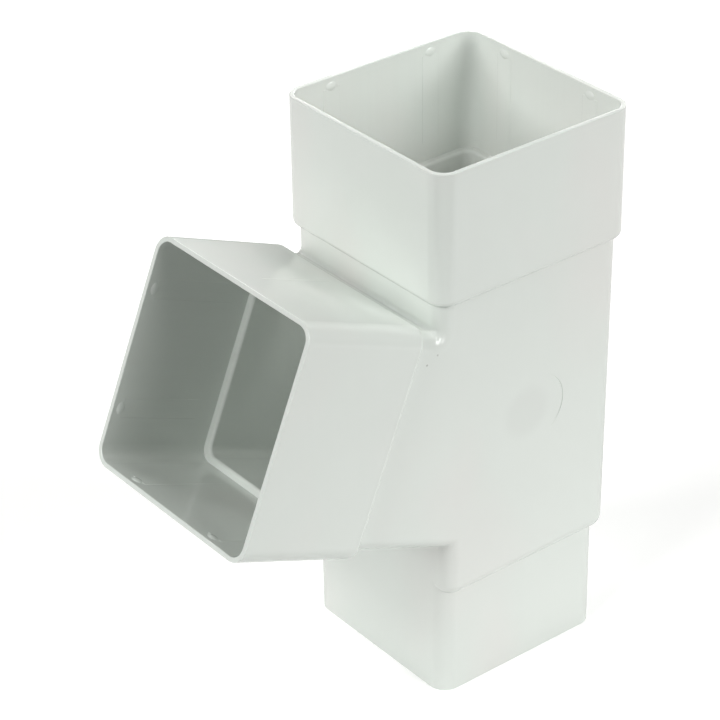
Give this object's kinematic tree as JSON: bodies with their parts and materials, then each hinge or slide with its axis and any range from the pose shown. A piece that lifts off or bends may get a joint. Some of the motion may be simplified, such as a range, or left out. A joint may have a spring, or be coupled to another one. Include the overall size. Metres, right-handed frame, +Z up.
{
  "type": "downpipe branch",
  "caption": "Square downpipe branch: an upright run with a socket on top, a spigot below and a sloping side branch that ends in a socket.",
  "frame": {"origin": "centre of the spigot's lower end, on the axis of the upright run", "axes": "+Z up along the run, out of the top socket; -X towards the side of the branch; Y across, square to the branch"},
  "size_m": [0.1373, 0.0688, 0.1725],
  "materials": {
    "white_pvc": "glossy white moulded PVC, as moulded, with faint tool marks"
  },
  "bodies": {
    "root": {"downpipe_branch": "white_pvc"}
  },
  "joints": []
}
